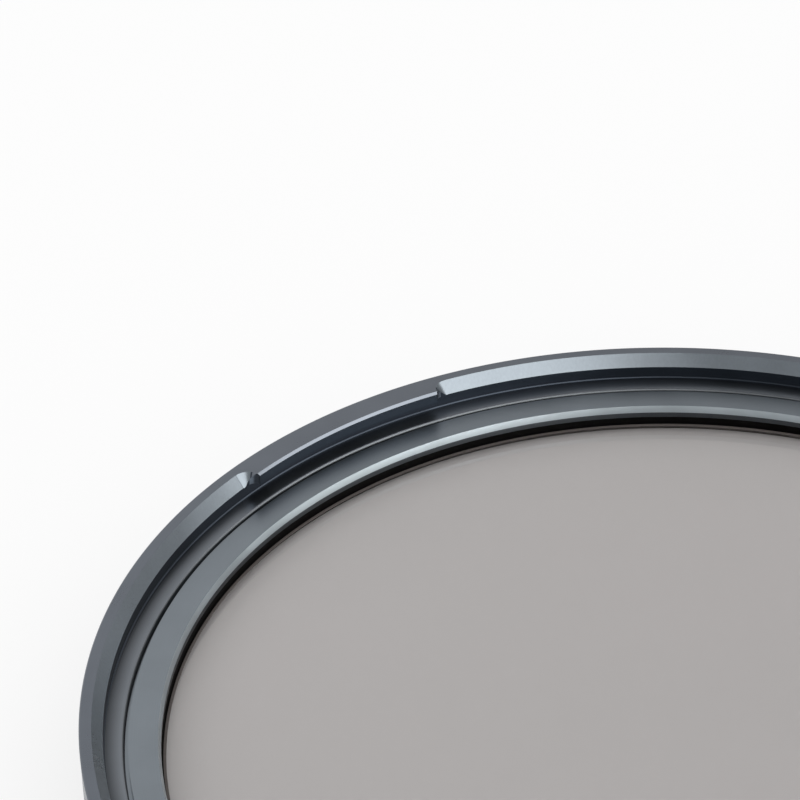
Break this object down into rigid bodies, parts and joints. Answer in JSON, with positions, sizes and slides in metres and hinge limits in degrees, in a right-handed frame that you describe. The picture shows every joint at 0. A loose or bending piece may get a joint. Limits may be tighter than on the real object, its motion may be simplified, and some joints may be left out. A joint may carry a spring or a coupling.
{
  "type": "circular polarizing filter",
  "caption": "Round screw-in polarizing filter: a laminated glass in a front ring with bayonet lugs, which turns on a rear mount ring with a male thread.",
  "frame": {"origin": "on the optical axis, in the plane of the rear thread's end, on which the filter lies", "axes": "+Z along the optical axis towards the front of the filter; +X to the right and +Y away from the viewer in the picture"},
  "size_m": [0.086, 0.086, 0.0105],
  "materials": {
    "front_ring_anodised": "fine satin black anodised, turned",
    "retaining_ring_anodised": "satin black anodised, turned",
    "mount_ring_anodised": "satin black anodised, turned",
    "gasket_black": "matte black",
    "front_glass": "polished and coated",
    "polarizing_film": "neutral grey film",
    "quarter_wave_film": "clear film",
    "rear_glass": "polished and coated",
    "spring_wire": "drawn spring wire"
  },
  "bodies": {
    "mount": {"mount_ring": "mount_ring_anodised", "snap_ring": "spring_wire"},
    "front": {"front_ring": "front_ring_anodised", "retaining_ring": "retaining_ring_anodised", "front_gasket": "gasket_black", "front_glass": "front_glass", "polarizing_film": "polarizing_film", "quarter_wave_film": "quarter_wave_film", "rear_glass": "rear_glass", "seat_seal": "gasket_black"}
  },
  "joints": [
    {"name": "filter_turn", "type": "hinge", "parent": "mount", "child": "front", "pos_m": [0, 0, 0.0047], "axis": [0, 0, 1], "continuous": true}
  ]
}
